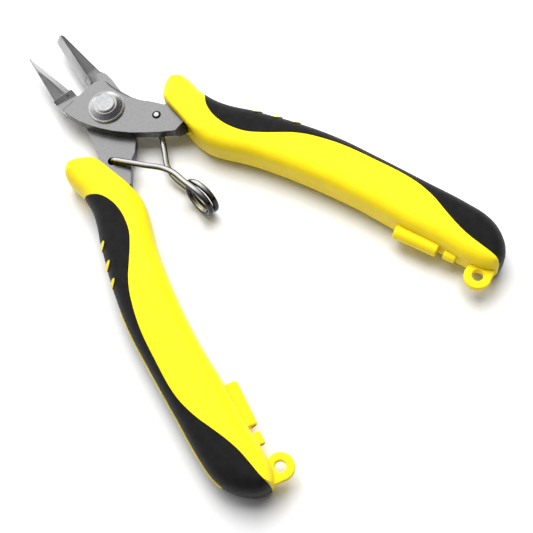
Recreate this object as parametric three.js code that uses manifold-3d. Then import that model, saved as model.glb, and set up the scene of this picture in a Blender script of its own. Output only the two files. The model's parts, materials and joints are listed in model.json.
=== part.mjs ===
// Flush cut pliers, standing open. Millimetres.
// +Z is the pivot axis, +X runs between the two handles, and the jaws point along -X.
// z = 0 is the plane the tool lies on, under its pivot.
// "front" is the side turned up (+Z). The front lever has its jaw on -Y and its handle on +Y.
import * as THREE from 'three';
import { ConvexGeometry } from 'three/addons/geometries/ConvexGeometry.js';
import { ParametricGeometry } from 'three/addons/geometries/ParametricGeometry.js';
import { mergeVertices } from 'three/addons/utils/BufferGeometryUtils.js';
import Module from 'manifold-3d';

const wasm = await Module();
wasm.setup();

// driving dimensions
const HANDLE_ANGLE = THREE.MathUtils.degToRad(18.16); // each handle to the X axis
const GRIP_HALF_THICKNESS = 5.2;
const SPLIT_Z = GRIP_HALF_THICKNESS; // the plane between the two levers
const PLATE_INNER_Z = 0.05; // each lever starts this far from the split plane
const PLATE_OUTER_Z = 2.65;
const GAP = 0.3; // around anything that sits in a pocket
const FRONT = 1;
const REAR = -1;

// pivot
const PIN_RADIUS = 1.9;
const PIN_HOLE_RADIUS = 2.1;
const COLLAR_RADIUS = 4.6;
const COLLAR_TOP_RADIUS = 3.0;
const COLLAR_RIM = 0.8;
const COLLAR_HEIGHT = 1.8;
const BUTTON_RADIUS = 2.3;
const BUTTON_HEIGHT = 0.6;

// jaws: u runs from the pivot to the tip, v out from the cutting edge
const JAW_LENGTH = 27.9;
const JAW_ROOT = 9.6;
const EDGE_OFFSET = 1.7; // the closed cutting line passes the pivot at this distance
const EDGE_CLEARANCE = 0.06;
const EDGE_Z = -0.95; // the flush side
const RIDGE_Z = 1.7; // top of the bevel
const BEVEL = 1.9;
const FRONT_JAW_ANGLE = THREE.MathUtils.degToRad(3.8);
const REAR_JAW_ANGLE = THREE.MathUtils.degToRad(12.7);

// return spring
const WIRE_RADIUS = 0.73;
const HOOK_HOLE_RADIUS = 1.05;
const REAR_HOOK = new THREE.Vector2(11.1, -8.3);
const FRONT_HOOK = new THREE.Vector2(10.7, 7.3);
const COIL_CENTRE = new THREE.Vector3(34.2, 0.37, 0.1);
const COIL_RADIUS = 4.43;
const COIL_PITCH = 2.3; // open enough for the two halves to pass each other as the handles close
const COIL_TURNS = 1.5;
const COIL_CUT = 1.25; // the turn at which the wire is split
const CUT_SPACE = 0.01; // turns left out on each side of the split
const COIL_AXIS = new THREE.Vector3(-0.04, 0.99, -0.13).normalize();

// grips, in handle space: x runs from the pivot to the hanging eye, y points outwards
const SLEEVE_THICKNESS = 1.6;
const EYE = new THREE.Vector2(100, 0);
const EYE_RADIUS = 3.2;
const EYE_HOLE_RADIUS = 1.3;
const EYE_HALF_THICKNESS = 0.9;
const SECTION_POWER = 3.2; // 2 would be an ellipse, more is squarer
const END_ROUND = 5;
const GRIP_OUTER = [[9.4, 9.5], [10, 14.2], [12.6, 16.7], [15.6, 16], [18.5, 14.9], [21.4, 14.2], [25, 14], [29, 14.5],
  [33, 15.4], [43, 16.8], [51, 17.5], [66, 17.1], [80.2, 16], [94.3, 14.5], [98.5, 13.2], [101.4, 10.9], [103.1, 8],
  [103.8, 5]];
const GRIP_INNER = [[9.4, 7], [12, 3], [19, 3], [23.6, 2.6], [28.3, 1.8], [34, 2.6], [42.5, 3.9], [56.6, 4.5],
  [66, 4.3], [78.3, 3.2], [89.6, 2.5], [96.2, 1.8], [103.8, 4.2]];
const SLEEVE_EDGE = [[19.3, 16], [20.2, 14.4], [21.4, 12.6], [23, 10.6], [25.5, 8.9], [28.5, 7.9], [32, 7.6],
  [35.5, 8], [39, 9.3], [42.8, 11.1], [46, 12.6], [50, 13.9], [58.5, 15], [66, 14.9], [78.7, 13.5], [83.4, 11.7],
  [90.5, 8], [97.2, 5.5], [104.5, 4.1]];
const MOUTH = [[9.4, 9], [12.5, 7.5], [23.4, 3.1]];
const NUB_PLACES = [[34.9, 15.4], [40.1, 16], [44.8, 16.7]];

const materials = {
  steel: () => new THREE.MeshStandardMaterial({ color: 0xa9abad, roughness: 0.42, metalness: 1 }),
  pivot: () => new THREE.MeshStandardMaterial({ color: 0xd8dadc, roughness: 0.25, metalness: 1 }),
  wire: () => new THREE.MeshStandardMaterial({ color: 0xd0d2d4, roughness: 0.12, metalness: 1 }),
  yellow: () => new THREE.MeshStandardMaterial({ color: 0xfaf028, roughness: 0.42, metalness: 0 }),
  black: () => new THREE.MeshStandardMaterial({ color: 0x2b2b2c, roughness: 0.6, metalness: 0 }),
};

// a closed geometry as a solid that can be joined and cut
function solid(geometry) {
  const bare = geometry.index ? geometry.toNonIndexed() : geometry;
  bare.deleteAttribute('normal');
  bare.deleteAttribute('uv');
  const merged = mergeVertices(bare, 1e-4);
  const corners = Array.from(merged.index.array);
  const whole = corners.filter((_, i) => {
    const [a, b, c] = corners.slice(i - (i % 3), i - (i % 3) + 3);
    return a !== b && b !== c && c !== a;
  });
  const mesh = new wasm.Mesh({
    numProp: 3,
    vertProperties: new Float32Array(merged.attributes.position.array),
    triVerts: new Uint32Array(whole),
  });
  return new wasm.Manifold(mesh);
}

function meshOf(name, shape, material) {
  const { vertProperties, triVerts } = shape.getMesh();
  const geometry = new THREE.BufferGeometry();
  geometry.setAttribute('position', new THREE.BufferAttribute(vertProperties, 3));
  geometry.setIndex(new THREE.BufferAttribute(triVerts, 1));
  geometry.computeVertexNormals();
  const mesh = new THREE.Mesh(geometry, material);
  mesh.name = name;
  return mesh;
}

function shapeOf(points) {
  return new THREE.Shape(points.map(([x, y]) => new THREE.Vector2(x, y)));
}

// an outline standing up from z0 to z1
function prism(points, z0, z1) {
  const geometry = new THREE.ExtrudeGeometry(shapeOf(points), { depth: z1 - z0, bevelEnabled: false });
  return solid(geometry.translate(0, 0, z0));
}

function cylinder(x, y, radius, z0, z1, segments = 32) {
  const geometry = new THREE.CylinderGeometry(radius, radius, z1 - z0, segments);
  return solid(geometry.rotateX(Math.PI / 2).translate(x, y, (z0 + z1) / 2));
}

// a round bar along x
function bar(x0, x1, y, radius, segments = 12) {
  const geometry = new THREE.CylinderGeometry(radius, radius, x1 - x0, segments);
  return solid(geometry.rotateZ(Math.PI / 2).translate((x0 + x1) / 2, y, 0));
}

function lathe(profile, segments = 32) {
  const points = profile.map(([r, z]) => new THREE.Vector2(r, z));
  return solid(new THREE.LatheGeometry(points, segments).rotateX(Math.PI / 2));
}

// an outline moved out by a distance, with mitred corners
function grow(points, distance) {
  const ring = points.map(([x, y]) => new THREE.Vector2(x, y));
  const outward = THREE.ShapeUtils.isClockWise(ring) ? -1 : 1;
  const normalOf = (a, b) => {
    const along = b.clone().sub(a).normalize();
    return new THREE.Vector2(along.y, -along.x).multiplyScalar(outward);
  };
  return ring.map((point, i) => {
    const before = ring[(i + ring.length - 1) % ring.length];
    const after = ring[(i + 1) % ring.length];
    const n0 = normalOf(before, point);
    const n1 = normalOf(point, after);
    const shift = n0.clone().add(n1).divideScalar(1 + n0.dot(n1)).multiplyScalar(distance);
    return [point.x + shift.x, point.y + shift.y];
  });
}

const mirrored = (points, side) => points.map(([x, y]) => [x, side * y]);

// handle space to the tool's own axes
function fromHandle(points, side) {
  const origin = new THREE.Vector2();
  return points.map(([x, y]) => {
    const turned = new THREE.Vector2(x, side * y).rotateAround(origin, side * HANDLE_ANGLE);
    return [turned.x, turned.y];
  });
}

// the part of a lever that is hidden in its grip, from the mouth along the handle
const TANG_INNER = [[21, 6.3], [25, 6], [34, 6.2], [45, 8], [58, 8.8]];
const TANG_OUTER = [[58, 13], [45, 12], [34, 10.4], [25, 10.4], [18, 12.3], [13.5, 12.3], [12.4, 10]];

function frontPlateOutline() {
  const jawSide = [[-8.1, 3.6], [-8.1, -7.9], [-2.8, -6.9], [1.9, -5.5], [4.7, -4], [17.3, 7.8], [17, 10.6]];
  const outerEdge = [[9.2, 10.4], [4.7, 7.8], [0, 5], [-4.2, 4.7], [-6.9, 4.7]];
  return [...jawSide, ...fromHandle([...TANG_INNER, ...TANG_OUTER], FRONT), ...outerEdge];
}

function rearPlateOutline() {
  const outerEdge = [[8.6, -10.5], [0, -7.2], [-6, -5.2], [-8.1, -3.6]];
  const jawSide = [[-8.1, 1.1], [-11.6, 1.1], [-11.6, 5.8], [-9.9, 5.6], [-8.6, 6.7], [-7, 6.8], [-4.4, 6.5]];
  const innerEdge = [[-1.5, 6.4], [2.5, 4.6], [6, 3.2], [10.8, -0.9], [12.9, -2.5], [14.2, -4.2], [19.3, -9.4]];
  return [...outerEdge, ...jawSide, ...innerEdge, ...fromHandle([...TANG_INNER, ...TANG_OUTER], REAR)];
}

// a jaw: sharp along the flush face, bevelled in front and ground thinner to the tip
function jaw(side, angle, edgeOffset) {
  const direction = new THREE.Vector2(-Math.cos(angle), -side * Math.sin(angle));
  const outward = new THREE.Vector2(-side * direction.y, side * direction.x);
  const start = outward.clone().multiplyScalar(edgeOffset);
  const at = (u, v, z) => {
    const point = start.clone().addScaledVector(direction, u).addScaledVector(outward, v);
    return new THREE.Vector3(point.x, point.y, z);
  };
  const tipWidth = 0.9;
  const rootWidth = 5;
  const shoulder = 12.4;
  return solid(new ConvexGeometry([
    at(JAW_ROOT, 0, EDGE_Z), at(JAW_ROOT, BEVEL, RIDGE_Z), at(JAW_ROOT, rootWidth, EDGE_Z), at(JAW_ROOT, rootWidth, 0.6),
    at(shoulder, rootWidth, EDGE_Z), at(shoulder, rootWidth, 0.3), at(shoulder, BEVEL, RIDGE_Z),
    at(JAW_LENGTH, 0, EDGE_Z), at(JAW_LENGTH, tipWidth, EDGE_Z), at(JAW_LENGTH, tipWidth / 2, 0),
    at(JAW_LENGTH - 3, 1.5, RIDGE_Z - 1), at(JAW_LENGTH - 3, tipWidth + 0.9, EDGE_Z),
  ]));
}

function frontLever() {
  const plate = prism(frontPlateOutline(), PLATE_INNER_Z, PLATE_OUTER_Z);
  const neck = prism([[-11.2, -8], [-11.2, -3.3], [-7.6, -3.1], [-7.6, -8]], PLATE_INNER_Z, RIDGE_Z);
  const blade = jaw(FRONT, FRONT_JAW_ANGLE, EDGE_OFFSET + EDGE_CLEARANCE);
  const pinHole = cylinder(0, 0, PIN_HOLE_RADIUS, PLATE_INNER_Z - 1, PLATE_OUTER_Z + 1);
  const hookHole = cylinder(FRONT_HOOK.x, FRONT_HOOK.y, HOOK_HOLE_RADIUS, PLATE_INNER_Z - 1, PLATE_OUTER_Z + 1);
  return plate.add(neck).add(blade).subtract(pinHole).subtract(hookHole);
}

function rearLever() {
  const plate = prism(rearPlateOutline(), -PLATE_OUTER_Z, -PLATE_INNER_Z);
  const blade = jaw(REAR, REAR_JAW_ANGLE, -EDGE_OFFSET + EDGE_CLEARANCE);
  const pinHole = cylinder(0, 0, PIN_HOLE_RADIUS, -PLATE_OUTER_Z - 1, -PLATE_INNER_Z + 1);
  const hookHole = cylinder(REAR_HOOK.x, REAR_HOOK.y, HOOK_HOLE_RADIUS, -PLATE_OUTER_Z - 1, -PLATE_INNER_Z + 1);
  return plate.add(blade).subtract(pinHole).subtract(hookHole);
}

function pivotRivet() {
  const collarTop = PLATE_OUTER_Z + COLLAR_HEIGHT;
  const buttonBase = collarTop + 0.1;
  const buttonTop = buttonBase + BUTTON_HEIGHT;
  return lathe([[0, -SPLIT_Z], [PIN_RADIUS, -SPLIT_Z], [PIN_RADIUS, buttonBase], [BUTTON_RADIUS, buttonBase],
    [BUTTON_RADIUS, buttonTop - 0.2], [BUTTON_RADIUS - 0.3, buttonTop], [0, buttonTop]]);
}

function frontCollar() {
  const base = PLATE_OUTER_Z + 0.05;
  const top = PLATE_OUTER_Z + COLLAR_HEIGHT;
  return lathe([[PIN_HOLE_RADIUS, base], [COLLAR_RADIUS, base], [COLLAR_RADIUS, base + COLLAR_RIM],
    [COLLAR_TOP_RADIUS, top], [PIN_HOLE_RADIUS, top], [PIN_HOLE_RADIUS, base]]);
}

function rearCollar() {
  const base = -PLATE_OUTER_Z - 0.05;
  const chamfer = 0.6;
  return lathe([[PIN_HOLE_RADIUS, -SPLIT_Z], [COLLAR_RADIUS - chamfer, -SPLIT_Z], [COLLAR_RADIUS, -SPLIT_Z + chamfer],
    [COLLAR_RADIUS, base], [PIN_HOLE_RADIUS, base], [PIN_HOLE_RADIUS, -SPLIT_Z]]);
}

// the coil, turning from its front top (turn 0) to its rear bottom (turn COIL_TURNS)
function coilPoint(turn) {
  const across = new THREE.Vector3(0, 0, 1).addScaledVector(COIL_AXIS, -COIL_AXIS.z).normalize();
  const along = new THREE.Vector3().crossVectors(COIL_AXIS, across).normalize();
  const angle = Math.PI / 2 - turn * 2 * Math.PI;
  return COIL_CENTRE.clone()
    .addScaledVector(along, COIL_RADIUS * Math.cos(angle))
    .addScaledVector(across, COIL_RADIUS * Math.sin(angle))
    .addScaledVector(COIL_AXIS, (turn - COIL_TURNS / 2) * COIL_PITCH);
}

function coilPoints(from, to) {
  const count = Math.ceil((to - from) * 16);
  return Array.from({ length: count + 1 }, (_, i) => coilPoint(from + ((to - from) * i) / count));
}

// the wire from its hook, along its leg and up to the coil
function legPoints(hook, bend, coilStart, above) {
  const inside = -above * (PLATE_OUTER_Z + 0.2);
  const surface = above * 0.95;
  const corner = new THREE.Vector3(hook.x, hook.y, surface);
  const elbow = new THREE.Vector3(bend.x, bend.y, bend.z);
  const leg = (from, to, share) => from.clone().lerp(to, share);
  return [
    new THREE.Vector3(hook.x, hook.y, inside), new THREE.Vector3(hook.x, hook.y, -above * 0.6),
    leg(corner, elbow, 0.07), leg(corner, elbow, 0.16), leg(corner, elbow, 0.6), leg(corner, elbow, 0.92),
    leg(elbow, coilStart, 0.12), leg(elbow, coilStart, 0.6),
  ];
}

function wire(points, steps) {
  const path = new THREE.CatmullRomCurve3(points, false, 'centripetal');
  const section = new THREE.Shape().absarc(0, 0, WIRE_RADIUS, 0, 2 * Math.PI);
  return solid(new THREE.ExtrudeGeometry(section, { steps, extrudePath: path, curveSegments: 5 }));
}

function springRearLeg() {
  const bend = new THREE.Vector3(24.2, -0.65, 2.6);
  const leg = legPoints(REAR_HOOK, bend, coilPoint(0), FRONT);
  return wire([...leg, ...coilPoints(0, COIL_CUT - CUT_SPACE)], 70);
}

function springFrontLeg() {
  const bend = new THREE.Vector3(22, 0.17, -2.6);
  const leg = legPoints(FRONT_HOOK, bend, coilPoint(COIL_TURNS), REAR);
  return wire([...leg, ...coilPoints(COIL_CUT + CUT_SPACE, COIL_TURNS).reverse()], 44);
}

// height of an outline at x, straight between its points
function heightAt(points, x) {
  const after = Math.max(1, points.findIndex((point) => point[0] >= x));
  const [[x0, y0], [x1, y1]] = [points[after - 1], points[after]];
  return y0 + ((y1 - y0) * (x - x0)) / (x1 - x0);
}

// the whole grip, or its inner core when drawn in by a distance:
// rounded sections between the outer and the inner outline
function gripBody(side, inset = 0) {
  const xStart = GRIP_OUTER[0][0] + inset;
  const xEnd = GRIP_OUTER.at(-1)[0] - inset;
  const power = 2 / SECTION_POWER;
  const roundedEnd = (distance) => Math.sqrt(1 - (1 - Math.min(1, distance / END_ROUND)) ** 2);
  const place = (u, v, target) => {
    const x = xStart + (xEnd - xStart) * (0.65 * u + 0.175 * (1 - Math.cos(Math.PI * u)));
    const low = heightAt(GRIP_INNER, x) + inset;
    const high = heightAt(GRIP_OUTER, x) - inset;
    const closing = roundedEnd(x - xStart) * roundedEnd(xEnd - x);
    const angle = v * 2 * Math.PI;
    const across = Math.sign(Math.cos(angle)) * Math.abs(Math.cos(angle)) ** power;
    const through = Math.sign(Math.sin(angle)) * Math.abs(Math.sin(angle)) ** power;
    const y = (low + high) / 2 + (across * closing * (high - low)) / 2;
    target.set(x, side * y, -side * through * closing * (GRIP_HALF_THICKNESS - inset));
  };
  return solid(new ParametricGeometry(place, 28, 16));
}

function mouthCut(side) {
  const [tip, bend, root] = MOUTH;
  const below = [[23, 2.75], [23, -6], [4, -6], [4, 10.5]];
  return prism(mirrored([tip, bend, root, ...below], side), -10, 10);
}

// everything outside the edge of the soft sleeve
function sleeveRegion() {
  return [...SLEEVE_EDGE, [112, 4.1], [112, 24], [18, 24]];
}

function nub(side, [x, y], gap) {
  const slant = 0.6;
  const half = 0.6 + gap;
  const outline = [[x - half - slant, y - 2.4 - gap], [x + half - slant, y - 2.4 - gap], [x + half + slant, y + 1],
    [x - half + slant, y + 1]];
  return prism(mirrored(outline, side), -2.6 - gap, GRIP_HALF_THICKNESS - 2 + gap);
}

function nubs(side, gap) {
  return NUB_PLACES.map((place) => nub(side, place, gap)).reduce((all, one) => all.add(one));
}

// the thin spine that stands through the sleeve along the outer edge
function spine(side, gap) {
  const half = 0.6 + gap;
  const outline = [[51 - gap, 14], [51 - gap, 18.1], [66, 17.6], [80.2, 16.3], [96 + gap, 14.5], [96 + gap, 11]];
  return prism(mirrored(outline, side), -half, half);
}

function hangingEye(side) {
  const web = [[95.5, 3.5], [97.2, -1.4], [100, 0], [103.1, 0], [102.7, 3.4], [98, 4]];
  return cylinder(EYE.x, EYE.y, EYE_RADIUS, -EYE_HALF_THICKNESS, EYE_HALF_THICKNESS)
    .add(prism(mirrored(web, side), -EYE_HALF_THICKNESS, EYE_HALF_THICKNESS))
    .subtract(cylinder(EYE.x, EYE.y, EYE_HOLE_RADIUS, -EYE_HALF_THICKNESS - 1, EYE_HALF_THICKNESS + 1));
}

function tangPocket(side) {
  const [z0, z1] = side === FRONT ? [PLATE_INNER_Z, PLATE_OUTER_Z] : [-PLATE_OUTER_Z, -PLATE_INNER_Z];
  const throat = [[11.2, 7.4], [11.5, 4.5], [21.8, 1.6], [21.8, 5]];
  const outline = grow([...throat, ...TANG_INNER, ...TANG_OUTER], GAP);
  return prism(mirrored(outline, side), z0 - GAP, z1 + GAP);
}

function gripCore(side) {
  const sleeveSpace = prism(mirrored(grow(sleeveRegion(), GAP), side), -10, 10)
    .subtract(gripBody(side, SLEEVE_THICKNESS + GAP));
  const upright = gripBody(side).intersect(nubs(side, 0).add(spine(side, 0)));
  return gripBody(side)
    .subtract(sleeveSpace)
    .add(upright)
    .add(bar(77.8, 89.2, side * 2.1, 2))
    .add(bar(90.8, 93.9, side * 1.9, 1.4))
    .subtract(bar(76, 95, side * 1.2, 0.6))
    .add(hangingEye(side))
    .subtract(mouthCut(side))
    .subtract(tangPocket(side));
}

function gripSleeve(side) {
  return gripBody(side)
    .intersect(prism(mirrored(sleeveRegion(), side), -10, 10))
    .subtract(gripBody(side, SLEEVE_THICKNESS))
    .subtract(nubs(side, GAP))
    .subtract(spine(side, GAP));
}

function handle(side) {
  const name = side === FRONT ? 'front' : 'rear';
  const group = new THREE.Group();
  group.rotation.z = side * HANDLE_ANGLE;
  group.add(meshOf(`${name}_grip_core`, gripCore(side), materials.yellow()));
  group.add(meshOf(`${name}_grip_sleeve`, gripSleeve(side), materials.black()));
  return group;
}

const pliers = new THREE.Group();
pliers.position.z = SPLIT_Z;
pliers.add(
  meshOf('front_lever', frontLever(), materials.steel()),
  meshOf('rear_lever', rearLever(), materials.steel()),
  meshOf('pivot_rivet', pivotRivet(), materials.pivot()),
  meshOf('front_collar', frontCollar(), materials.pivot()),
  meshOf('rear_collar', rearCollar(), materials.pivot()),
  meshOf('spring_rear_leg', springRearLeg(), materials.wire()),
  meshOf('spring_front_leg', springFrontLeg(), materials.wire()),
  handle(FRONT),
  handle(REAR),
);

export default pliers;
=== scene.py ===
"""Flush cut pliers lying open: the fine surfaces, finishes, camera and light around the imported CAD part.

Lengths in this script are millimetres in the part's own frame until a mesh is made.
+Z is the pivot axis, +X runs between the handles, and the front lever's handle is on +Y.
Heights called z are measured from the split plane between the two levers.
A handle has its own axes: x runs from the pivot to its hanging eye, y points away from the other handle.
Both grips are drawn once in the handle's axes and mirrored, except for the slot for the lever's tang.
"""

import json
import math

import bmesh
import bpy
import numpy as np
from mathutils import Matrix, Vector


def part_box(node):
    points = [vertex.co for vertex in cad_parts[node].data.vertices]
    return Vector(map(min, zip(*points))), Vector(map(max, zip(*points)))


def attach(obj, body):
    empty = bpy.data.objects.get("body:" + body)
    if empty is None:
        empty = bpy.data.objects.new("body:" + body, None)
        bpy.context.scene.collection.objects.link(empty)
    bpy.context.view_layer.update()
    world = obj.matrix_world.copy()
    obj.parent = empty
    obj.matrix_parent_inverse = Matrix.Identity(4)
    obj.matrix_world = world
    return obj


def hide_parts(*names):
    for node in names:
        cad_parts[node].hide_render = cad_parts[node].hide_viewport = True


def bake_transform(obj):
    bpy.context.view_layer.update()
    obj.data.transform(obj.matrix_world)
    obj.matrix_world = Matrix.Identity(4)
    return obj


MM = 0.001
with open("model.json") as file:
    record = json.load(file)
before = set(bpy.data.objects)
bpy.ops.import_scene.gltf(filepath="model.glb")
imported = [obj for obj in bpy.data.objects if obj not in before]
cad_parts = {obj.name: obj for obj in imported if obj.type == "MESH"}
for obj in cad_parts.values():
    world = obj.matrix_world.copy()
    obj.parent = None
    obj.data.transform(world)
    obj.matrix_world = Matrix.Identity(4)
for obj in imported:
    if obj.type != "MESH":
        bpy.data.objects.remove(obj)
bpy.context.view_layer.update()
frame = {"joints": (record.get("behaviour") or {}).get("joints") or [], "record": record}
record = frame["record"]
joints = {j["name"]: np.array(j["pos_m"]) / MM for j in frame["joints"]}
mounts = {m["name"]: np.array(m["pos_m"]) / MM for m in record["mounts"]}

FRONT = 1
REAR = -1
SPLIT_Z = joints["jaw_pivot"][2]
HANDLE_ANGLE = math.atan2(mounts["front_eye_face"][1], mounts["front_eye_face"][0])

# plates
PLATE_INNER_Z = 0.05
PLATE_OUTER_Z = 2.65
PLATE_EDGE = 0.18
PIN_HOLE_RADIUS = 2.1
HOOK_HOLE_RADIUS = 0.95

# jaws: u runs from the pivot to the tip, v out from the cutting edge
# each LOSS or GAIN is the change from the start of the edge to the tip
JAW_LENGTH = 27.4
JAW_WIDTH = 5.5
EDGE_START = 11.6
EDGE_OFFSET = 1.7
EDGE_CLEARANCE = 0.06
EDGE_Z = -0.95
RIDGE_V = 1.85
RIDGE_V_LOSS = 0.25
RIDGE_Z = 1.7
RIDGE_Z_LOSS = 0.65
WALL_Z = 0.15
WALL_Z_GAIN = 0.45
RUN_OUT_Z = -0.2
RUN_OUT_START = 13.4
RUN_OUT_LENGTH = 3
FRONT_JAW_ANGLE = math.radians(3.8)
REAR_JAW_ANGLE = math.radians(12.7)

# pivot: the underside of the rivet's button stands BUTTON_LIFT above the front plate
COLLAR_BORE = 2.12
COLLAR_GAP = 0.02
RIVET_RADIUS = 1.9
BUTTON_LIFT = 1.82

# spring: each leg bends once between its hook and the coil
WIRE_RADIUS = 0.73
COIL_RADIUS = 4.43
COIL_PITCH = 1.7
COIL_TURNS = 1.5
COIL_LIFT = 0.1
COIL_LEAN = np.array([-0.04, 0.99, -0.13])
COIL_AXIS = COIL_LEAN / np.linalg.norm(COIL_LEAN)
REAR_LEG_BEND = (24.2, -0.65, 2.6)
FRONT_LEG_BEND = (22, 0.17, -2.6)

# grips
GRIP_HALF_THICKNESS = 5.2
SLEEVE_THICKNESS = 1.6
SLEEVE_GAP = 0.05
SLEEVE_RISE = 0.06
NUB_RISE = 0.3
SEAM = 0.12
POCKET_GAP = 0.16
CUTTER_HALF_HEIGHT = 8
EYE = (100.0, 0.0)
EYE_RADIUS = 3.2
EYE_HOLE_RADIUS = 1.3
EYE_HALF_THICKNESS = 0.9

# how round the grip's edge is along each stretch of its outline
GRIP_EDGE = 3.6
NOSE_EDGE = 4.0
MOUTH_EDGE = 1.1
SLEEVE_SIDE_EDGE = 4.5

# grip outlines in the handle's axes
GRIP_OUTLINE = [
    # along the mouth and round the nose
    [23.6, 3.05], [18.5, 5.25], [13.4, 7.45], [11.9, 8.25], [10.75, 9.5], [9.9, 11.2], [9.6, 13],
    [9.95, 14.6], [11.1, 15.8], [12.7, 16.3], [14.5, 16.1], [16.4, 15.5], [18.6, 14.7], [21.4, 14.1],
    # along the outer side
    [25, 13.9], [29, 14.4], [33, 15.3], [38, 16.05], [43, 16.8], [47, 17.2], [51, 17.5], [57.6, 17.6],
    [66, 17.1], [80.3, 16], [91, 15.1],
    # round the end
    [95.3, 14.4], [98.6, 13.1], [101.2, 11], [103, 8.3], [103.8, 5.6], [103.2, 3.2], [100.6, 2],
    # back along the inner side
    [96.2, 1.8], [89.6, 2.5], [78.3, 3.2], [66, 4.3], [55, 4.5], [46.5, 4.2], [39.5, 3.6], [35.5, 2.9],
    [31.5, 2.1], [28.5, 1.8], [26, 2.1],
]
SLEEVE_EDGE = [
    [19.3, 16], [20.2, 14.4], [21.4, 12.6], [23, 10.6], [25.5, 8.9], [28.5, 7.9], [32, 7.6], [35.5, 8],
    [39, 9.3], [42.8, 11.1], [46, 12.6], [49, 13.6], [53, 14.4], [58.5, 15], [66, 14.9], [78.7, 13.5],
    [83.4, 11.7], [86.8, 9.9], [90.5, 8], [94, 6.55], [97.6, 5.55], [100.7, 4.75], [103, 3.9],
    [105.5, 2.8],
]
MOUTH = [[10.6, 8.6], [23.4, 3.1]]
NUB_PLACES = [[34.9, 15.3], [40.1, 16], [44.8, 16.7]]
TANG_INNER = [[21, 6.3], [25, 6], [34, 6.2], [45, 8], [58, 8.8]]
TANG_OUTER = [[58, 13], [45, 12], [34, 10.4], [25, 10.4], [18, 12.3], [13.5, 12.3], [12.4, 10]]

# shading: creases sharper than this many degrees stay sharp
CREASE = 32
PIVOT_CREASE = 12
WIRE_CREASE = 60

# floor, camera and light
FLOOR_HALF_SIZE = 900
FLOOR_DROP = 0.12
CAMERA_AZIMUTH = math.radians(57.82)
CAMERA_ELEVATION = math.radians(66.65)
CAMERA_ROLL = math.radians(-12.26)
CAMERA_DISTANCE = 256.22
CAMERA_AIM = np.array([58.71, -0.94, SPLIT_Z])
CAMERA_LENS = 74.3
LIGHT_AIM = (40, 0, 0)
LIGHT_DISTANCE = 450
LIGHT_SIZE = 420
LIGHT_WATTS = 3.7
SKY_DARKEST = (0.06, 0.06, 0.062, 1)
SKY_BRIGHTEST = (1, 1, 1, 1)
SKY_GREYS = ((0.3, 0.12), (0.6, 0.36), (0.75, 0.6), (0.88, 0.92))
SKY_STRENGTH = 1.05


# ---------------------------------------------------------------- outlines
def smooth(points, spacing=0.6, closed=True):
    """A curve through the points, sampled about every spacing."""
    points = np.asarray(points, float)
    if closed:
        before = np.roll(points, 1, 0)
        after = np.roll(points, -1, 0)
    else:
        before = np.vstack([2 * points[0] - points[1], points[:-1]])
        after = np.vstack([points[1:], 2 * points[-1] - points[-2]])
    back = np.linalg.norm(points - before, axis=1)[:, None]
    ahead = np.linalg.norm(after - points, axis=1)[:, None]
    tangent = ((points - before) / back * ahead + (after - points) / ahead * back) / (back + ahead)
    samples = []
    for i in range(len(points) if closed else len(points) - 1):
        j = (i + 1) % len(points)
        length = np.linalg.norm(points[j] - points[i])
        count = max(2, math.ceil(length / spacing))
        t = (np.arange(count) / count)[:, None]
        samples.append(
            (2 * t**3 - 3 * t**2 + 1) * points[i]
            + (t**3 - 2 * t**2 + t) * length * tangent[i]
            + (3 * t**2 - 2 * t**3) * points[j]
            + (t**3 - t**2) * length * tangent[j]
        )
    if not closed:
        samples.append(points[-1:])
    return np.vstack(samples)


def rounded(points, radius, steps=5):
    """The outline with each corner turned into a short curve."""
    points = np.asarray(points, float)
    result = []
    for i, corner in enumerate(points):
        before, after = points[i - 1], points[(i + 1) % len(points)]
        to_before = (before - corner) / np.linalg.norm(before - corner)
        to_after = (after - corner) / np.linalg.norm(after - corner)
        half = math.acos(np.clip(to_before @ to_after, -1, 1)) / 2
        reach = radius / max(math.tan(half), 0.05)
        reach = min(reach, 0.45 * np.linalg.norm(before - corner), 0.45 * np.linalg.norm(after - corner))
        for t in np.linspace(0, 1, steps):
            start = corner + to_before * reach
            end = corner + to_after * reach
            result.append((1 - t) ** 2 * start + 2 * t * (1 - t) * corner + t**2 * end)
    return np.array(result)


def inward(points):
    """Unit normals that point into the outline."""
    points = np.asarray(points, float)
    along = np.roll(points, -1, 0) - np.roll(points, 1, 0)
    along /= np.linalg.norm(along, axis=1)[:, None]
    after = np.roll(points, -1, 0)
    area = np.sum(points[:, 0] * after[:, 1] - after[:, 0] * points[:, 1])
    return np.column_stack([-along[:, 1], along[:, 0]]) * np.sign(area)


def room(points, most):
    """How far each point of the outline can move in before it meets another side, up to most."""
    points = np.asarray(points, float)
    normals = inward(points)
    apart = points[None] - points[:, None]
    ahead = np.einsum("ijk,ik->ij", apart, normals)
    square = np.sum(apart**2, axis=2)
    ball = np.where(ahead > 1e-6, square / (2 * np.maximum(ahead, 1e-6)), np.inf)
    limit = np.minimum(0.92 * ball.min(1), most)
    for _ in range(3):
        limit = np.minimum(limit, (np.roll(limit, 1) + limit + np.roll(limit, -1)) / 3)
    return limit[:, None]


def grown(points, distance):
    """The outline moved out by a distance."""
    return np.asarray(points, float) - inward(points) * distance


def circle(x, y, radius, count=48):
    """Points round a circle, starting on its +x side."""
    turn = np.linspace(0, 2 * math.pi, count, endpoint=False)
    return np.column_stack([x + radius * np.cos(turn), y + radius * np.sin(turn)])


# ---------------------------------------------------------------- solids
def mesh_object(name, points, faces):
    """An object in the scene, from points in millimetres."""
    mesh = bpy.data.meshes.new(name)
    mesh.from_pydata((np.asarray(points, float) * MM).tolist(), [], faces)
    obj = bpy.data.objects.new(name, mesh)
    bpy.context.scene.collection.objects.link(obj)
    face_out(obj)
    return obj


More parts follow.
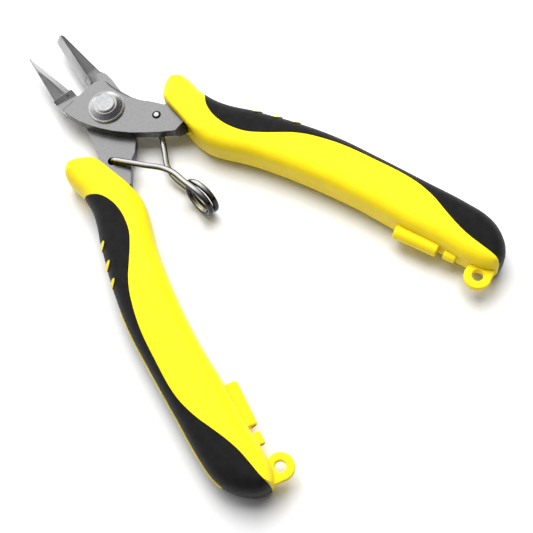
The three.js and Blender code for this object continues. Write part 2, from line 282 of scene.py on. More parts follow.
def face_out(obj):
    """Turns every face of a closed body outwards."""
    shape = bmesh.new()
    shape.from_mesh(obj.data)
    bmesh.ops.recalc_face_normals(shape, faces=shape.faces)
    shape.to_mesh(obj.data)
    shape.free()


def skin(name, rings):
    """A closed body through rings of equally many points."""
    count = len(rings[0])
    faces = []
    for i in range(len(rings) - 1):
        for k in range(count):
            a = i * count + k
            b = i * count + (k + 1) % count
            faces.append((a, b, b + count, a + count))
    last = (len(rings) - 1) * count
    faces.append(tuple(range(count))[::-1])
    faces.append(tuple(last + k for k in range(count)))
    return mesh_object(name, np.vstack(rings), faces)


def at_height(points, z):
    """An outline raised to z, which is one height or a height for each point."""
    return np.column_stack([points, np.broadcast_to(z, len(points))])


def slab(name, outline, z0, z1, edge=0.0, steps=4):
    """An outline standing up from z0 to z1, with rounded top and bottom edges."""
    outline = np.asarray(outline, float)
    if np.all(edge == 0):
        return skin(name, [at_height(outline, z0), at_height(outline, z1)])
    normals = inward(outline)
    edge = np.broadcast_to(edge, len(outline))
    reach = room(outline, edge)
    rings = []
    for z_end, rise in ((z0, 1), (z1, -1)):
        half = []
        for turn in np.linspace(0, math.pi / 2, steps + 1):
            moved = outline + normals * reach * (1 - math.sin(turn))
            half.append(at_height(moved, z_end + rise * edge * (1 - math.cos(turn))))
        rings += half if rise == 1 else half[::-1]
    return skin(name, rings)


def turned(name, profile, count=96):
    """A body turned round the pivot axis from (radius, z) points.

    The points start and end on the axis, or run once round the section of a ring.
    """
    turn = np.linspace(0, 2 * math.pi, count, endpoint=False)
    rings = []
    for radius, z in profile:
        r = max(radius, 1e-4)
        rings.append(np.column_stack([r * np.cos(turn), r * np.sin(turn), np.full(count, z)]))
    if profile[0][0] == 0:
        return skin(name, rings)
    points = np.vstack(rings)
    faces = []
    for i in range(len(rings)):
        j = (i + 1) % len(rings)
        for k in range(count):
            m = (k + 1) % count
            faces.append((i * count + k, i * count + m, j * count + m, j * count + k))
    return mesh_object(name, points, faces)


def swept(name, path, radius, count=20):
    """A round wire along a path, with rounded ends."""
    path = np.asarray(path, float)
    along = np.gradient(path, axis=0)
    along /= np.linalg.norm(along, axis=1)[:, None]
    side = np.cross(along[0], [0.3, 0.5, 0.8])
    rings = []
    turn = np.linspace(0, 2 * math.pi, count, endpoint=False)[:, None]
    for i, (point, direction) in enumerate(zip(path, along)):
        side = side - direction * (side @ direction)
        side /= np.linalg.norm(side)
        other = np.cross(direction, side)
        ring = np.cos(turn) * side + np.sin(turn) * other
        if i == 0:
            for back, share in ((0.3, 0.78), (0.22, 0.9), (0.1, 0.97)):
                rings.append(point - direction * radius * back + ring * radius * share)
        rings.append(point + ring * radius)
        if i == len(path) - 1:
            for ahead, share in ((0.1, 0.97), (0.22, 0.9), (0.3, 0.78)):
                rings.append(point + direction * radius * ahead + ring * radius * share)
    return skin(name, rings)


def settle(obj):
    """Applies the object's modifiers."""
    view = bpy.context.evaluated_depsgraph_get()
    mesh = bpy.data.meshes.new_from_object(obj.evaluated_get(view))
    obj.modifiers.clear()
    obj.data = mesh
    return obj


def combine(obj, other, operation):
    """Changes obj by a boolean with another body, which is used up."""
    modifier = obj.modifiers.new(operation, "BOOLEAN")
    modifier.operation = operation
    modifier.solver = "MANIFOLD"
    modifier.object = other
    settle(obj)
    bpy.data.objects.remove(other)
    return obj


def join(obj, *others):
    for other in others:
        combine(obj, other, "UNION")
    return obj


def cut(obj, *others):
    for other in others:
        combine(obj, other, "DIFFERENCE")
    return obj


def keep(obj, other):
    return combine(obj, other, "INTERSECT")


def shade(obj, angle):
    """Smooth shading with creases kept where faces meet at more than the angle."""
    obj.data.shade_smooth()
    obj.data.set_sharp_from_angle(angle=math.radians(angle))
    modifier = obj.modifiers.new("normals", "WEIGHTED_NORMAL")
    modifier.keep_sharp = True


def place(obj, side=None):
    """Moves a body from the split plane, or from a handle's own axes, into the part's frame."""
    matrix = Matrix.Translation((0, 0, SPLIT_Z * MM))
    if side is not None:
        mirror = Matrix.Diagonal((1, side, 1, 1))
        matrix = matrix @ Matrix.Rotation(side * HANDLE_ANGLE, 4, "Z") @ mirror
    obj.data.transform(matrix)
    face_out(obj)
    return obj


def from_handle(points, side):
    """Turns points from a handle's own axes into the part's axes."""
    x, y = (np.asarray(points, float) * [1, side]).T
    cos = math.cos(side * HANDLE_ANGLE)
    sin = math.sin(side * HANDLE_ANGLE)
    return np.column_stack([cos * x - sin * y, sin * x + cos * y])


# ---------------------------------------------------------------- levers
def front_plate_outline():
    jaw_side = [[-7.9, 2.6], [-7.7, 0], [-7.4, -4], [-7.4, -8.15], [-5, -8.05], [-2, -7.35], [0.5, -6.4]]
    inner_edge = [[3.3, -5], [6.2, -3.3], [9.7, -0.6], [12.5, 2.1], [14.8, 4.5], [17.4, 7.6], [17, 10.6]]
    tang = from_handle(TANG_INNER + TANG_OUTER, FRONT).tolist()
    outer_edge = [
        [10.3, 10.9], [7.2, 9.2], [4.7, 7.7], [1.6, 6.5], [-1.3, 5.8], [-4, 5.2], [-6.1, 4.9], [-7.4, 4],
    ]
    return [*jaw_side, *inner_edge, *tang, *outer_edge]


def rear_plate_outline():
    outer_edge = [[8.6, -10.5], [5, -8.9], [0, -7.2], [-6, -5.2], [-8.1, -3.6]]
    jaw_side = [[-8.1, 1.1], [-11.6, 1.1], [-12.3, 6.1], [-10.9, 6.5], [-9.7, 7], [-6.8, 6.95], [-4.5, 6.5]]
    inner_edge = [
        [-1.5, 6.2], [2.5, 4.6], [6, 3.2], [10.6, 0], [13.3, -2.7], [14, -4.2], [15.1, -5.4], [19.3, -9.2],
    ]
    tang = from_handle(TANG_INNER + TANG_OUTER, REAR).tolist()
    return [*outer_edge, *jaw_side, *inner_edge, *tang]


def upper_chamfer():
    """A cutter for the slope along the front plate's outer edge, from its foot up to its head."""
    foot = np.array([[-6.8, 5.9], [-4, 5.75], [-1.3, 6.3], [1.6, 7], [4.9, 8.2], [7.4, 9.7]])
    head = np.array([[-6.4, 4.75], [-4, 4.55], [-1.3, 4.95], [1.6, 5.7], [4.7, 7.45], [7.2, 9.2]])
    low_z = 1.2
    rings = []
    for outer, inner in zip(foot, head):
        slope = (outer - inner) / 0.9
        rings.append(np.array([
            [*(inner - slope * 0.15), PLATE_OUTER_Z + 0.12],
            [*(inner + slope * 0.95), low_z],
            [*(outer + slope), low_z],
            [*(outer + slope), PLATE_OUTER_Z + 1],
        ]))
    return skin("chamfer", rings)


def heel():
    """The front plate slopes out towards its back where it runs into the grip."""
    low = [[15, 5], [17.4, 7.5], [18.3, 8.1], [18.8, 10.4], [16.5, 11.5], [15, 11]]
    high = [[15, 5], [16.9, 7.4], [17.3, 7.7], [16.95, 10.6], [16.5, 11.5], [15, 11]]
    top_z = PLATE_OUTER_Z - 0.02
    return skin("heel", [at_height(np.array(low), PLATE_INNER_Z), at_height(np.array(high), top_z)])


def jaw(side, angle, edge_offset, root, tip_width, tip_round, run_out):
    """One jaw: flush behind, bevelled in front, hollow behind its ridge and ground thin to the tip.

    root is where it starts inside its plate, and tip_round is the length that is rounded off at the tip.
    With run_out at 1 the hollow sinks and loses its rim towards the root, and at 0 it stays as it is.
    """
    direction = np.array([-math.cos(angle), -side * math.sin(angle)])
    outward = np.array([-side * direction[1], side * direction[0]])
    start = outward * edge_offset
    rings = []
    stations = np.concatenate([
        np.linspace(root, 11.2, 3),
        [11.35, 11.8, 12.0],
        np.linspace(12.6, 25.5, 16),
        np.linspace(26, JAW_LENGTH - tip_round, 4),
        JAW_LENGTH - tip_round * np.array([0.7, 0.45, 0.25, 0.1, 0]),
    ])
    for u in stations:
        share = np.clip((u - EDGE_START) / (JAW_LENGTH - EDGE_START), 0, 1)
        width = JAW_WIDTH - (JAW_WIDTH - tip_width) * share**0.95
        ridge_v = min(RIDGE_V - RIDGE_V_LOSS * share, 0.88 * width)
        ridge_z = RIDGE_Z - RIDGE_Z_LOSS * share
        outer_z = min(WALL_Z + WALL_Z_GAIN * share, ridge_z - 0.12)
        blend = run_out * np.clip((RUN_OUT_START - u) / RUN_OUT_LENGTH, 0, 1)
        outer_z += (RUN_OUT_Z - outer_z) * blend
        tip = np.clip(1 - (JAW_LENGTH - u) / tip_round, 0, 1)
        back = 1 - math.sqrt(max(0.0, 1 - tip**2))
        low = 0.1 * width * back + 0.25 * np.clip((EDGE_START - u) / 0.3, 0, 1)
        width -= 0.35 * width * back
        ridge_v = min(max(ridge_v, low + 0.1), width - 0.12)
        ridge_z -= 0.5 * back
        outer_z = min(outer_z, ridge_z - 0.1)
        hollow_v = ridge_v + 0.4 * (width - ridge_v)
        hollow_z = outer_z + 0.2 * (ridge_z - outer_z)
        rim = 0.1 * (1 - blend)
        cutting_edge = [(low, EDGE_Z), (low + 0.01, EDGE_Z + 0.05)]
        ridge = [(ridge_v - 0.06, ridge_z - 0.04), (ridge_v, ridge_z), (ridge_v + 0.06, ridge_z - 0.05)]
        hollow = [
            (ridge_v + 0.3 * (hollow_v - ridge_v), ridge_z - 0.7 * (ridge_z - hollow_z)),
            (hollow_v, hollow_z),
            (width - 0.3, outer_z - 0.02),
        ]
        outer_wall = [
            (width - 0.22, outer_z + rim),
            (width - 0.08, outer_z + rim),
            (width, outer_z - 0.05),
            (width, EDGE_Z + 0.1),
            (width - 0.1, EDGE_Z),
        ]
        section = [*cutting_edge, *ridge, *hollow, *outer_wall]
        rings.append(np.array([[*(start + direction * u + outward * v), z] for v, z in section]))
    return skin("blade", rings)


def hole(x, y, radius, z0, z1, chamfer=0.15):
    """A cutter for a round hole with lightly broken edges."""
    flare = chamfer + 0.001
    lower = [(z0 - 1, flare), (z0, chamfer), (z0 + chamfer, 0)]
    upper = [(z1 - chamfer, 0), (z1, chamfer), (z1 + 1, flare)]
    return skin("hole", [at_height(circle(x, y, radius + grow, 40), z) for z, grow in lower + upper])


def hollow_curve(foot, top, low_z, steps=9):
    """Points (x, z) of a hollow that leaves the foot level and meets the plate's face steeply."""
    run = top - foot
    rise = PLATE_OUTER_Z - low_z
    quarter = np.linspace(0, math.pi / 2, steps)
    return [(foot + run * math.sin(turn), low_z + rise * (1 - math.cos(turn))) for turn in quarter]


def shoulder():
    """The front lever's shoulder: a hollow curve from the plate's face down to a valley before the jaw."""
    inside_x = -6.3
    crest_z = 1.45
    valley_z = 0.75
    stations = (
        (-8.1, -11.9, -10.5, -7.0),
        (-7.6, -12.1, -10.4, -7.05),
        (-5.3, -11.9, -9.85, -7.4),
        (-2.6, -11.5, -9.25, -7.7),
    )
    rings = []
    for y, neck_x, valley_x, top_x in stations:
        profile = [
            (inside_x, PLATE_INNER_Z),
            (neck_x, PLATE_INNER_Z),
            (neck_x, crest_z - 0.15),
            (neck_x + 0.1, crest_z),
            (neck_x + 0.25, crest_z),
            (valley_x - 0.4, valley_z + 0.1),
            *hollow_curve(valley_x, top_x, valley_z),
            (inside_x, PLATE_OUTER_Z),
        ]
        rings.append(np.array([[x, y, z] for x, z in profile]))
    return skin("shoulder", rings)


def brow():
    """The shoulder's curve runs on up the plate's free edge and dies out."""
    inside_x = -6.9
    foot_z = 0.85
    stations = ((-3.2, -9.1, -7.65), (-1.5, -8.8, -7.75), (0.5, -8.5, -7.9), (2.4, -8.1, -7.95))
    rings = []
    for y, foot_x, top_x in stations:
        profile = [
            (inside_x, PLATE_INNER_Z),
            (foot_x + 0.1, PLATE_INNER_Z),
            (foot_x, 0.3),
            *hollow_curve(foot_x, top_x, foot_z, 7),
            (inside_x, PLATE_OUTER_Z),
        ]
        rings.append(np.array([[x, y, z] for x, z in profile]))
    return skin("brow", rings)


def front_lever():
    outline = rounded(front_plate_outline(), 0.8)
    plate = slab("front_lever_body", outline, PLATE_INNER_Z, PLATE_OUTER_Z, PLATE_EDGE, 2)
    cut(plate, upper_chamfer())
    edge_offset = EDGE_OFFSET + EDGE_CLEARANCE
    blade = jaw(FRONT, FRONT_JAW_ANGLE, edge_offset, root=10.9, tip_width=0.7, tip_round=0.6, run_out=0)
    join(plate, heel(), shoulder(), brow(), blade)
    hook = joints["spring_front_hook"]
    cut(plate, hole(0, 0, PIN_HOLE_RADIUS, PLATE_INNER_Z, PLATE_OUTER_Z))
    cut(plate, hole(hook[0], hook[1], HOOK_HOLE_RADIUS, PLATE_INNER_Z, PLATE_OUTER_Z))
    return plate


def rear_hook():
    """Where the wire's rear hook stands, from the corner of the CAD spring's box: no joint marks it."""
    low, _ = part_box("spring_rear_leg")
    return np.array([low.x, low.y]) / MM + WIRE_RADIUS


def rear_lever():
    outline = rounded(rear_plate_outline(), 0.6)
    plate = slab("rear_lever_body", outline, -PLATE_OUTER_Z, -PLATE_INNER_Z, PLATE_EDGE, 2)
    edge_offset = -EDGE_OFFSET + EDGE_CLEARANCE
    blade = jaw(REAR, REAR_JAW_ANGLE, edge_offset, root=9.25, tip_width=2.3, tip_round=0.9, run_out=1)
    join(plate, blade)
    hook = rear_hook()
    cut(plate, hole(0, 0, PIN_HOLE_RADIUS, -PLATE_OUTER_Z, -PLATE_INNER_Z))
    cut(plate, hole(hook[0], hook[1], HOOK_HOLE_RADIUS, -PLATE_OUTER_Z, -PLATE_INNER_Z))
    return plate


# ---------------------------------------------------------------- pivot
def front_collar():
    base = PLATE_OUTER_Z + COLLAR_GAP
    rim = [(4.4, base), (4.5, base + 0.1), (4.5, base + 0.5), (4.42, base + 0.62), (4.3, base + 0.68)]
    cone = [(4.15, base + 0.72), (3.05, base + 1.64), (2.9, base + 1.74), (2.7, base + 1.78)]
    bore = [(COLLAR_BORE, base), (COLLAR_BORE, base + 1.78)]
    return turned("front_collar_body", [bore[0], *rim, *cone, bore[1]])


def rear_collar():
    base = -PLATE_OUTER_Z - COLLAR_GAP
    end = -SPLIT_Z
    bore = [(COLLAR_BORE, base), (COLLAR_BORE, end + 0.1)]
    face = [(2.25, end), (3.85, end), (4.15, end + 0.1), (4.5, end + 0.5)]
    rim = [(4.6, end + 0.75), (4.6, base - 0.1), (4.5, base)]
    return turned("rear_collar_body", [*bore, *face, *rim])


def pivot_rivet():
    end = -SPLIT_Z
    low = PLATE_OUTER_Z + BUTTON_LIFT
    pin = [(0, end), (1.75, end), (RIVET_RADIUS, end + 0.15), (RIVET_RADIUS, low)]
    button_side = [(2.45, low), (2.58, low + 0.1), (2.58, low + 0.36), (2.5, low + 0.48), (2.3, low + 0.56)]
    dished_face = [(2.05, low + 0.56), (1.3, low + 0.48), (0.5, low + 0.45), (0, low + 0.45)]
    return turned("pivot_rivet_body", [*pin, *button_side, *dished_face])


# ---------------------------------------------------------------- spring
def coil_point(centre, turn_count):
    """The middle of the wire after a number of turns, counted from where the rear leg joins the coil."""
    up = np.array([0, 0, 1]) - COIL_AXIS * COIL_AXIS[2]
    up /= np.linalg.norm(up)
    along = np.cross(COIL_AXIS, up)
    angle = math.pi / 2 - turn_count * 2 * math.pi
    return (
        centre
        + along * COIL_RADIUS * math.cos(angle)
        + up * COIL_RADIUS * math.sin(angle)
        + COIL_AXIS * (turn_count - COIL_TURNS / 2) * COIL_PITCH
    )


def leg(hook, bend, coil_start, above):
    """Points of one leg, from inside its hole to just before the coil."""
    corner = np.array([hook[0], hook[1], above * 0.95])
    bend = np.array(bend)
    inside = above * (PLATE_OUTER_Z + 0.1)
    points = [np.array([hook[0], hook[1], -inside]), np.array([hook[0], hook[1], -above * 0.6])]
    points += [corner + (bend - corner) * share for share in (0.07, 0.16, 0.6, 0.92)]
    points += [bend + (coil_start - bend) * share for share in (0.12, 0.6)]
    return points


def return_spring():
    """The whole wire from the rear hook, over the rear plate and round the coil, to the front hook."""
    centre = joints["spring_coil"] - [0, 0, SPLIT_Z]
    centre[2] += COIL_LIFT
    rear_leg = leg(rear_hook(), REAR_LEG_BEND, coil_point(centre, 0), FRONT)
    front_leg = leg(joints["spring_front_hook"], FRONT_LEG_BEND, coil_point(centre, COIL_TURNS), REAR)
    coil = [coil_point(centre, turn) for turn in np.linspace(0, COIL_TURNS, 25)]
    path = smooth([*rear_leg, *coil, *front_leg[::-1]], 0.3, closed=False)
    return swept("return_spring", path, WIRE_RADIUS)


# ---------------------------------------------------------------- grips
def edge_radii(outline):
    """How round the grip's edge is at each point: tightest along the mouth, softest over the sleeve."""
    x, y = outline.T
    start, end = np.array(MOUTH)
    along = (end - start) / np.linalg.norm(end - start)
    away = np.abs((outline - start) @ np.array([-along[1], along[0]]))
    by_sleeve = y > 9.5
    at_nose = x < 16
    at_mouth = (away < 0.7) & (x > 11.5) & (x < 24.5)
    edge = np.where(by_sleeve, SLEEVE_SIDE_EDGE, GRIP_EDGE)
    edge = np.where(at_nose, NOSE_EDGE, edge)
    edge = np.where(at_mouth, MOUTH_EDGE, edge)
    for _ in range(12):
        edge = (np.roll(edge, 1) + edge + np.roll(edge, -1)) / 3
    return edge


def grip_body(name, inset=0.0):
    """The whole grip as one rounded body, made smaller all round by the inset."""
    outline = smooth(GRIP_OUTLINE, 0.6)
    edge = edge_radii(outline)
    half = GRIP_HALF_THICKNESS - inset
    return slab(name, grown(outline, -inset), -half, half, np.maximum(edge - inset, 0.8), 8)


def sleeve_region(gap=0.0):
    """An outline over the part of the grip that the sleeve covers, set back from the seam by the gap."""
    seam = smooth(SLEEVE_EDGE, 0.5, closed=False)
    along = np.gradient(seam, axis=0)
    along /= np.linalg.norm(along, axis=1)[:, None]
    seam = seam + np.column_stack([-along[:, 1], along[:, 0]]) * gap
    return np.vstack([seam, [[114, 3.6], [114, 26], [14, 26]]])


def nub(place_xy, gap):
    """A pair of slanted drops over the grip's outer side, one nearer each face."""
    x, y = place_xy
    near_z = 1.5
    far_z = 4.6
    swell = 0.18
    slant = 0.5
    edge = 0.5
    turn = np.linspace(0, 2 * math.pi, 24, endpoint=False)
    across = (0.62 + gap) * np.cos(turn) * (1 + swell * np.sin(turn))
    deep = (1 + gap) * np.sin(turn)
    outline = np.column_stack([x + across + slant * deep, y - 0.1 + deep])
    upper = slab("nub", outline, near_z - gap, far_z + gap, edge, 3)
    return join(upper, slab("nub", outline, -far_z - gap, -near_z + gap, edge, 3))


def spine(gap):
    """The narrow line of hard plastic that shows along the middle of the sleeve."""
    half = 0.6
    near = [[50.6, 17.3], [51.4, 17.95], [58, 18], [66, 17.5]]
    far = [[80.2, 16.4], [91, 15.55], [96, 14.7], [98.6, 13.5]]
    outline = np.vstack([smooth(near + far, 0.8, closed=False), [[97, 11], [52, 14]]])
    return slab("spine", grown(outline, gap), -half - gap, half + gap, 0.2, 3)


def tang_pocket(side):
    """The slot for the lever's tang, a little wider where it opens at the mouth."""
    low, high = (PLATE_INNER_Z, PLATE_OUTER_Z) if side == FRONT else (-PLATE_OUTER_Z, -PLATE_INNER_Z)
    throat = [[11.6, 9.6], [9, 8.4], [20.4, -0.4], [21.9, 2.6]]
    tang = rounded([*throat, *TANG_INNER[1:], *TANG_OUTER], 0.5, 3)
    pocket = slab("pocket", grown(tang, POCKET_GAP), low - POCKET_GAP, high + POCKET_GAP)
    lip_gap = 0.4
    lip = [[12.2, 9.9], [9, 8.4], [20.4, -0.4], [22.2, 2.7], [22.4, 5], [14, 9.6]]
    return join(pocket, slab("lip", rounded(lip, 0.4, 3), low - lip_gap, high + lip_gap))


def hanging_eye():
    """The flat ring at the grip's end, and the web that ties it to the grip."""
    web = [[97.7, 4], [97.5, 1.2], [98.6, -0.6], [100, -1.5], [103.1, -0.9], [103.1, 3.4], [99, 5]]
    disc = slab("eye", circle(*EYE, EYE_RADIUS, 64), -EYE_HALF_THICKNESS, EYE_HALF_THICKNESS, 0.35, 4)
    join(disc, slab("web", rounded(web, 0.4), -EYE_HALF_THICKNESS, EYE_HALF_THICKNESS, 0.34, 4))
    return cut(disc, hole(*EYE, EYE_HOLE_RADIUS, -EYE_HALF_THICKNESS, EYE_HALF_THICKNESS, 0.25))


def rib(x0, x1, y, radius):
    """A round bar along the inner edge, with softened ends."""
    count = 32
    near_end = [(x0, 0.8), (x0 + 0.12, 0.93), (x0 + 0.4, 1)]
    far_end = [(x1 - 0.4, 1), (x1 - 0.12, 0.93), (x1, 0.8)]
    rings = []
    for x, share in near_end + far_end:
        rings.append(np.column_stack([np.full(count, x), circle(y, 0, radius * share, count)]))
    return skin("rib", rings)


def grip_core(name, side):
    """The yellow moulding, with a step for the sleeve and the nubs and spine standing up through it."""
    body = grip_body(name)
    recess = slab("recess", sleeve_region(), -CUTTER_HALF_HEIGHT, CUTTER_HALF_HEIGHT)
    cut(recess, grip_body("inner", SLEEVE_THICKNESS + SLEEVE_GAP))
    cut(body, recess)
    proud = grip_body("proud", -NUB_RISE)
    studs = nub(NUB_PLACES[0], 0)
    join(studs, *[nub(place_xy, 0) for place_xy in NUB_PLACES[1:]], spine(0))
    keep(proud, studs)
    join(body, proud, rib(78.2, 89.2, 2.1, 1.8), rib(90.8, 93.8, 1.9, 1.3), hanging_eye())
    cut(body, tang_pocket(side), rib(77, 95, 1.35, 0.6))
    return place(body, side)


def grip_sleeve(name, side):
    """The black skin over the outer side, with a seam all round and holes for the nubs and spine."""
    body = grip_body(name, -SLEEVE_RISE)
    keep(body, slab("region", sleeve_region(SEAM), -CUTTER_HALF_HEIGHT, CUTTER_HALF_HEIGHT))
    cut(body, grip_body("inner", SLEEVE_THICKNESS))
    cut(body, *[nub(place_xy, SEAM) for place_xy in NUB_PLACES], spine(SEAM))
    return place(body, side)


# ---------------------------------------------------------------- finishes
class Finish:
    """A material whose node tree is built by short calls. Every pattern is placed by the piece's own axes."""

    def __init__(self, name):
        self.material = bpy.data.materials.new(name)
        self.material.use_nodes = True
        self.tree = self.material.node_tree
        self.shader = self.tree.nodes["Principled BSDF"]
        coordinates = self.add("ShaderNodeTexCoord")
        self.place = coordinates.outputs["Object"]
        self.facing = coordinates.outputs["Normal"]

    def add(self, kind, **settings):
        node = self.tree.nodes.new(kind)
        for key, value in settings.items():
            setattr(node, key, value)
        return node

    def link(self, source, target):
        self.tree.links.new(source, target)

    def set(self, name, value):
        self.shader.inputs[name].default_value = value

    def noise(self, scale, detail=2.0, stretch=(1, 1, 1)):
        """Noise of about 1 / scale millimetres, drawn out along the axes with a small stretch."""
        mapping = self.add("ShaderNodeMapping")
        mapping.inputs["Scale"].default_value = [scale / MM * s for s in stretch]
        self.link(self.place, mapping.inputs["Vector"])
        texture = self.add("ShaderNodeTexNoise")
        texture.inputs["Scale"].default_value = 1
        texture.inputs["Detail"].default_value = detail
        self.link(mapping.outputs["Vector"], texture.inputs["Vector"])
        return texture.outputs["Fac"]

    def component(self, vector, axis):
        """One component of a vector."""
        split = self.add("ShaderNodeSeparateXYZ")
        self.link(vector, split.inputs["Vector"])
        return split.outputs[axis]

    def ramp(self, source, low, high, from_low=0.3, from_high=0.7):
        """Runs from low to high while the source runs from from_low to from_high, and stops there."""
        node = self.add("ShaderNodeMapRange")
        node.inputs["From Min"].default_value = from_low
        node.inputs["From Max"].default_value = from_high
        node.inputs["To Min"].default_value = low
        node.inputs["To Max"].default_value = high
        self.link(source, node.inputs["Value"])
        return node.outputs["Result"]

    def both(self, one, other):
        """The product of two masks."""
        node = self.add("ShaderNodeMath", operation="MULTIPLY")
        self.link(one, node.inputs[0])
        self.link(other, node.inputs[1])
        return node.outputs[0]

    def colour(self, source, dark, light):
        """Runs from the dark colour to the light one while the source runs from 0 to 1."""
        node = self.add("ShaderNodeMix", data_type="RGBA")
        self.link(source, node.inputs["Factor"])
        node.inputs["A"].default_value = (*dark, 1)
        node.inputs["B"].default_value = (*light, 1)
        return node.outputs["Result"]

    def mottle(self, grain, dark, light):
        """Clouds between two colours, drawn by a noise."""
        return self.colour(self.ramp(grain, 0, 1), dark, light)

    def over(self, mask, under, upper):
        """The upper colour where the mask is 1 and the under one where it is 0."""
        node = self.add("ShaderNodeMix", data_type="RGBA")
        self.link(mask, node.inputs["Factor"])
        self.link(under, node.inputs["A"])
        self.link(upper, node.inputs["B"])
        return node.outputs["Result"]

    def paint(self, colour):
        self.link(colour, self.shader.inputs["Base Color"])

    def roughness(self, grain, low, high):
        self.link(self.ramp(grain, low, high), self.shader.inputs["Roughness"])

    def bump(self, source, height, strength):
        """Fine relief, with its height in millimetres."""
        node = self.add("ShaderNodeBump")
        node.inputs["Strength"].default_value = strength
        node.inputs["Distance"].default_value = height * MM
        self.link(source, node.inputs["Height"])
        self.link(node.outputs["Normal"], self.shader.inputs["Normal"])


def yellow_plastic():
    look = Finish("yellow_plastic")
    look.paint(look.mottle(look.noise(0.25), (0.90, 0.70, 0.010), (0.95, 0.745, 0.013)))
    look.roughness(look.noise(1.2), 0.38, 0.5)
    look.bump(look.noise(6, 3), 0.01, 0.35)
    look.set("Specular IOR Level", 0.3)
    return look.material


def black_rubber():
    look = Finish("black_rubber")
    look.paint(look.mottle(look.noise(0.5), (0.006, 0.006, 0.0064), (0.010, 0.010, 0.0105)))
    look.roughness(look.noise(2), 0.5, 0.68)
    look.bump(look.noise(9, 3), 0.02, 0.5)
    look.set("Specular IOR Level", 0.25)
    return look.material


def steel():
    """Satin ground faces, with painted shade darkening the plates' side walls and the hollows behind the
    jaws.
    """
    look = Finish("satin_steel")
    look.set("Metallic", 1)
    grain = look.noise(5, 4, (1, 0.35, 1))
    ground = look.mottle(grain, (0.42, 0.42, 0.425), (0.51, 0.51, 0.515))
    # painted shade: a near-black colour for the plates' steep side walls
    painted_wall_shade = look.mottle(look.noise(2, 4), (0.03, 0.03, 0.032), (0.1, 0.1, 0.105))
    # painted shade: a darker colour for the hollows behind the jaws
    hollow = look.mottle(grain, (0.2, 0.2, 0.204), (0.29, 0.29, 0.295))
    level = look.add("ShaderNodeMath", operation="ABSOLUTE")
    look.link(look.component(look.facing, "Z"), level.inputs[0])
    steep = look.ramp(level.outputs[0], 1, 0, 0.72, 0.88)
    flat = look.ramp(level.outputs[0], 0, 1, 0.8, 0.92)
    x = look.component(look.place, "X")
    on_plate = look.ramp(x, 0, 1, -7.1 * MM, -6.7 * MM)
    on_jaw = look.ramp(x, 1, 0, -12.8 * MM, -11.8 * MM)
    # painted shade: steep walls on the plates take the near-black colour
    plate = look.over(look.both(steep, on_plate), ground, painted_wall_shade)
    # painted shade: flat faces out on the jaws take the darker colour
    look.paint(look.over(look.both(flat, on_jaw), plate, hollow))
    look.roughness(look.noise(2.5, 3), 0.27, 0.36)
    look.bump(grain, 0.003, 0.3)
    return look.material


def pivot_steel():
    """Bright turned steel with fine marks round the pivot axis."""
    look = Finish("turned_steel")
    look.set("Metallic", 1)
    look.paint(look.mottle(look.noise(1.5, 3), (0.68, 0.68, 0.69), (0.85, 0.85, 0.86)))
    look.roughness(look.noise(1.2, 3), 0.2, 0.36)
    rings = look.add("ShaderNodeTexWave", wave_type="RINGS", rings_direction="Z")
    rings.inputs["Scale"].default_value = 0.9 / MM
    rings.inputs["Distortion"].default_value = 1.5
    look.link(look.place, rings.inputs["Vector"])
    look.bump(rings.outputs["Fac"], 0.002, 0.3)
    return look.material


def wire_steel():
    """Bright drawn wire, with painted shade darkening it where it faces down."""
    look = Finish("polished_wire")
    look.set("Metallic", 1)
    # painted shade: near black where the wire faces down, bright where it faces up
    top = look.ramp(look.component(look.facing, "Z"), 0, 1, 0.6, 0.85)
    look.paint(look.colour(top, (0.035, 0.035, 0.038), (0.9, 0.9, 0.91)))
    look.roughness(look.noise(2, 3), 0.1, 0.2)
    look.bump(look.noise(3, 2), 0.004, 0.2)
    return look.material


def floor_paint():
    look = Finish("pale_floor")
    look.paint(look.mottle(look.noise(0.02), (0.80, 0.80, 0.80), (0.82, 0.82, 0.82)))
    look.set("Roughness", 0.9)
    look.set("Specular IOR Level", 0.1)
    return look.material


# ---------------------------------------------------------------- pieces on their bodies, and the spring on none
MATERIALS = {
    "steel": steel(),
    "pivot": pivot_steel(),
    "wire": wire_steel(),
    "yellow_plastic": yellow_plastic(),
    "black_rubber": black_rubber(),
}


def dress(obj, slot, *nodes, crease=CREASE):
    """Gives a finished piece its material and shading, and hides the CAD nodes it stands for."""
    obj.data.materials.clear()
    obj.data.materials.append(MATERIALS[slot])
    shade(obj, crease)
    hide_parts(*nodes)


def add_levers():
    for make, node in ((front_lever, "front_lever"), (rear_lever, "rear_lever")):
        lever = place(make())
        dress(lever, "steel", node)
        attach(lever, node)


def add_pivot():
    """The rivet and both collars turn with the front lever."""
    pieces = ((pivot_rivet, "pivot_rivet"), (front_collar, "front_collar"), (rear_collar, "rear_collar"))
    for make, node in pieces:
        piece = place(make())
        dress(piece, "pivot", node, crease=PIVOT_CREASE)
        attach(piece, "front_lever")


def add_grips():
    for side, name in ((FRONT, "front"), (REAR, "rear")):
        core = grip_core(f"{name}_grip_yellow", side)
        dress(core, "yellow_plastic", f"{name}_grip_core")
        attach(core, f"{name}_lever")
        sleeve = grip_sleeve(f"{name}_grip_black", side)
        dress(sleeve, "black_rubber", f"{name}_grip_sleeve")
        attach(sleeve, f"{name}_lever")


def add_spring():
    """One wire in place of the spring's two legs, with its coil between them; it is attached to neither of
    the spring's two moving bodies.
    """
    spring = place(return_spring())
    dress(spring, "wire", "spring_rear_leg", "spring_front_leg", crease=WIRE_CREASE)
    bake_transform(spring)


# ---------------------------------------------------------------- floor, light and camera
def floor():
    corners = np.array([[-1, -1], [1, -1], [1, 1], [-1, 1]]) * FLOOR_HALF_SIZE
    sheet = mesh_object("floor", at_height(corners, -FLOOR_DROP), [(0, 1, 2, 3)])
    sheet.data.materials.append(floor_paint())


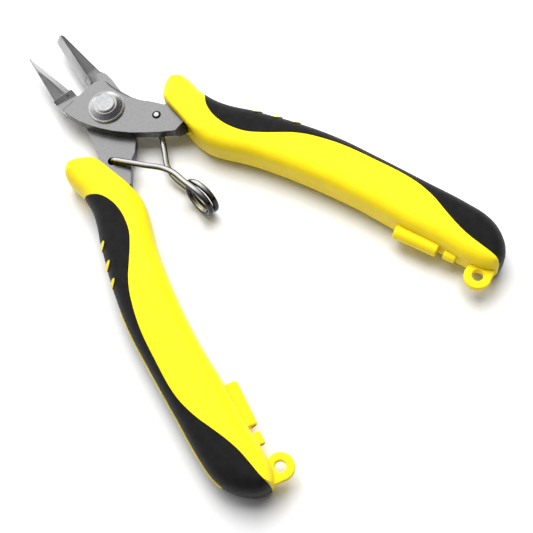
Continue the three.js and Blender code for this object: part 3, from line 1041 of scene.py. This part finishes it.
def camera_axes():
    """The picture's right and up, and the way back from the tool to the camera."""
    back = Vector((
        math.sin(CAMERA_AZIMUTH) * math.cos(CAMERA_ELEVATION),
        -math.cos(CAMERA_AZIMUTH) * math.cos(CAMERA_ELEVATION),
        math.sin(CAMERA_ELEVATION),
    ))
    level = Vector((0, 0, 1)).cross(back).normalized()
    right = Matrix.Rotation(CAMERA_ROLL, 3, back) @ level
    return right, back.cross(right), back


def camera():
    right, up, back = camera_axes()
    data = bpy.data.cameras.new("camera")
    data.sensor_width = 36
    data.lens = CAMERA_LENS
    data.clip_start = 10 * MM
    obj = bpy.data.objects.new("camera", data)
    bpy.context.scene.collection.objects.link(obj)
    turn = Matrix((right, up, back)).transposed().to_4x4()
    obj.matrix_world = Matrix.Translation((Vector(CAMERA_AIM) + back * CAMERA_DISTANCE) * MM) @ turn
    bpy.context.scene.camera = obj


def key_light():
    """A soft square light from above the picture on the camera's side, left out of reflections."""
    right, up, back = camera_axes()
    direction = up * 1.0 + back * 0.9 - right * 0.1
    data = bpy.data.lights.new("key", "AREA")
    data.size = LIGHT_SIZE * MM
    data.energy = LIGHT_WATTS
    obj = bpy.data.objects.new("key", data)
    bpy.context.scene.collection.objects.link(obj)
    obj.visible_glossy = False
    obj.location = Vector(LIGHT_AIM) * MM + direction.normalized() * LIGHT_DISTANCE * MM
    obj.rotation_euler = direction.to_track_quat("Z", "Y").to_euler()


def surroundings():
    """A soft grey sky for the steel to reflect, brightest towards the camera and the picture's upper left."""
    right, up, back = camera_axes()
    world = bpy.data.worlds.new("studio")
    bpy.context.scene.world = world
    world.use_nodes = True
    tree = world.node_tree
    direction = tree.nodes.new("ShaderNodeTexCoord")
    towards = tree.nodes.new("ShaderNodeVectorMath")
    towards.operation = "DOT_PRODUCT"
    towards.inputs[1].default_value = (up * 0.76 + back * 0.35 - right * 0.55).normalized()
    greys = tree.nodes.new("ShaderNodeValToRGB")
    stops = greys.color_ramp.elements
    stops[0].position = 0.0
    stops[0].color = SKY_DARKEST
    stops[1].position = 1.0
    stops[1].color = SKY_BRIGHTEST
    for share, grey in SKY_GREYS:
        stop = stops.new(share)
        stop.color = (grey, grey, grey, 1)
    background = tree.nodes["Background"]
    background.inputs["Strength"].default_value = SKY_STRENGTH
    tree.links.new(direction.outputs["Generated"], towards.inputs[0])
    tree.links.new(towards.outputs["Value"], greys.inputs["Fac"])
    tree.links.new(greys.outputs["Color"], background.inputs["Color"])


add_levers()
add_pivot()
add_grips()
add_spring()
floor()
camera()
key_light()
surroundings()
bpy.context.scene.view_settings.view_transform = "Standard"
